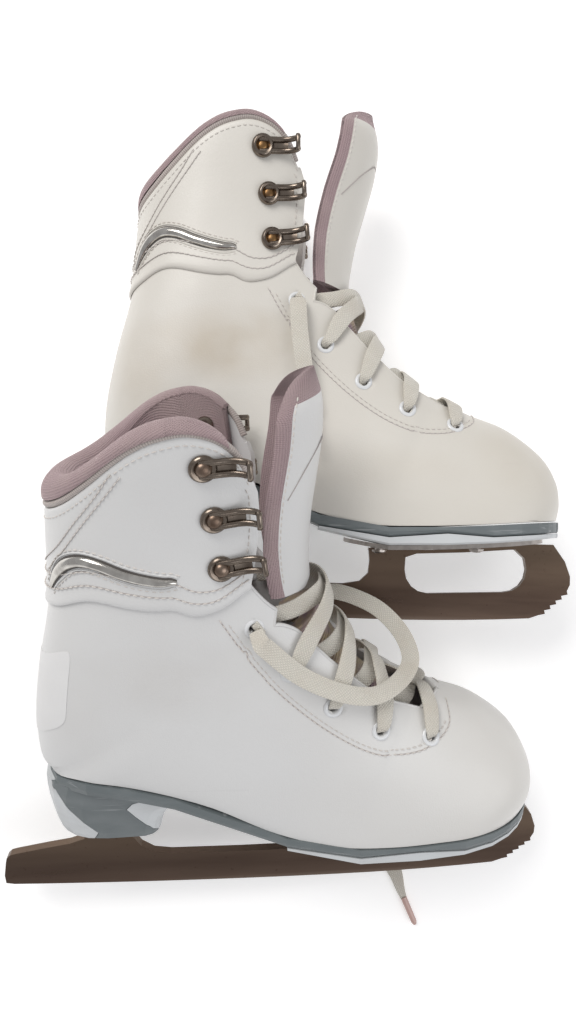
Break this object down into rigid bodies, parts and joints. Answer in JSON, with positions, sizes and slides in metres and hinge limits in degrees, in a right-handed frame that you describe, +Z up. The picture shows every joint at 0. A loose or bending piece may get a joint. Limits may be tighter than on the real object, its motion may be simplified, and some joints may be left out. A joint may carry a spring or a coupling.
{
  "type": "pair of figure skates",
  "caption": "Pair of lace-up figure skates lying one against the other: white boots on heeled soles, with steel runners screwed below and laces threaded over open tongues.",
  "frame": {"origin": "on the surface the pair lies on, below the centre of the pair's box without its loose lace ends", "axes": "+Z up, +Y from the near skate to the far skate, the pair's longest extent, +X towards the toes"},
  "size_m": [0.2656, 0.4007, 0.1471],
  "materials": {
    "steel": "brushed along the runner",
    "grey": "satin slate grey",
    "white_rubber": "satin white",
    "leather": "coated white, softly shining",
    "fabric": "ribbed mauve-grey lining",
    "chrome": "polished",
    "gunmetal": "dark plated hooks",
    "lace": "woven cream",
    "aglet": "smooth tip"
  },
  "bodies": {
    "left_skate": {"left_aglet_a": "aglet", "left_ankle_cuff": "leather", "left_boot_shell": "leather", "left_footbed": "fabric", "left_heel_core": "white_rubber", "left_heel_plate": "steel", "left_heel_screw_1": "steel", "left_heel_screw_2": "steel", "left_hook_left_1": "gunmetal", "left_hook_left_2": "gunmetal", "left_hook_left_3": "gunmetal", "left_hook_right_1": "gunmetal", "left_hook_right_2": "gunmetal", "left_hook_right_3": "gunmetal", "left_lace": "lace", "left_lace_end_a": "lace", "left_liner": "fabric", "left_midsole_wave": "white_rubber", "left_outsole": "grey", "left_runner": "steel", "left_sole_plate": "steel", "left_sole_screw_1": "steel", "left_sole_screw_2": "steel", "left_sole_screw_3": "steel", "left_sole_screw_4": "steel", "left_tongue_base": "leather", "left_trim_left": "chrome", "left_trim_right": "chrome"},
    "left_tongue": {"left_tongue": "leather"},
    "right_skate": {"right_aglet_a": "aglet", "right_aglet_b": "aglet", "right_ankle_cuff": "leather", "right_boot_shell": "leather", "right_footbed": "fabric", "right_heel_core": "white_rubber", "right_heel_plate": "steel", "right_heel_screw_1": "steel", "right_heel_screw_2": "steel", "right_hook_left_1": "gunmetal", "right_hook_left_2": "gunmetal", "right_hook_left_3": "gunmetal", "right_hook_right_1": "gunmetal", "right_hook_right_2": "gunmetal", "right_hook_right_3": "gunmetal", "right_lace": "lace", "right_lace_end_a": "lace", "right_lace_end_b": "lace", "right_liner": "fabric", "right_midsole_wave": "white_rubber", "right_outsole": "grey", "right_runner": "steel", "right_sole_plate": "steel", "right_sole_screw_1": "steel", "right_sole_screw_2": "steel", "right_sole_screw_3": "steel", "right_sole_screw_4": "steel", "right_tongue_base": "leather", "right_trim_left": "chrome", "right_trim_right": "chrome"},
    "right_tongue": {"right_tongue": "leather"}
  },
  "joints": [
    {"name": "front_skate_lift", "type": "slide", "parent": "left_skate", "child": "right_skate", "axis": [0, 0, 1], "range_m": [0, 0.15]},
    {"name": "left_tongue_hinge", "type": "hinge", "parent": "left_skate", "child": "left_tongue", "pos_m": [0.0242, 0.09019, 0.03977], "axis": [0.0815, 0.0662, -0.9945], "range_deg": [-10, 25], "stiffness_Nm_per_rad": 0.15},
    {"name": "right_tongue_hinge", "type": "hinge", "parent": "right_skate", "child": "right_tongue", "pos_m": [0.00285, -0.04526, 0.08033], "axis": [-0.023, 0.411, -0.9113], "range_deg": [-4, 32], "stiffness_Nm_per_rad": 0.15}
  ]
}
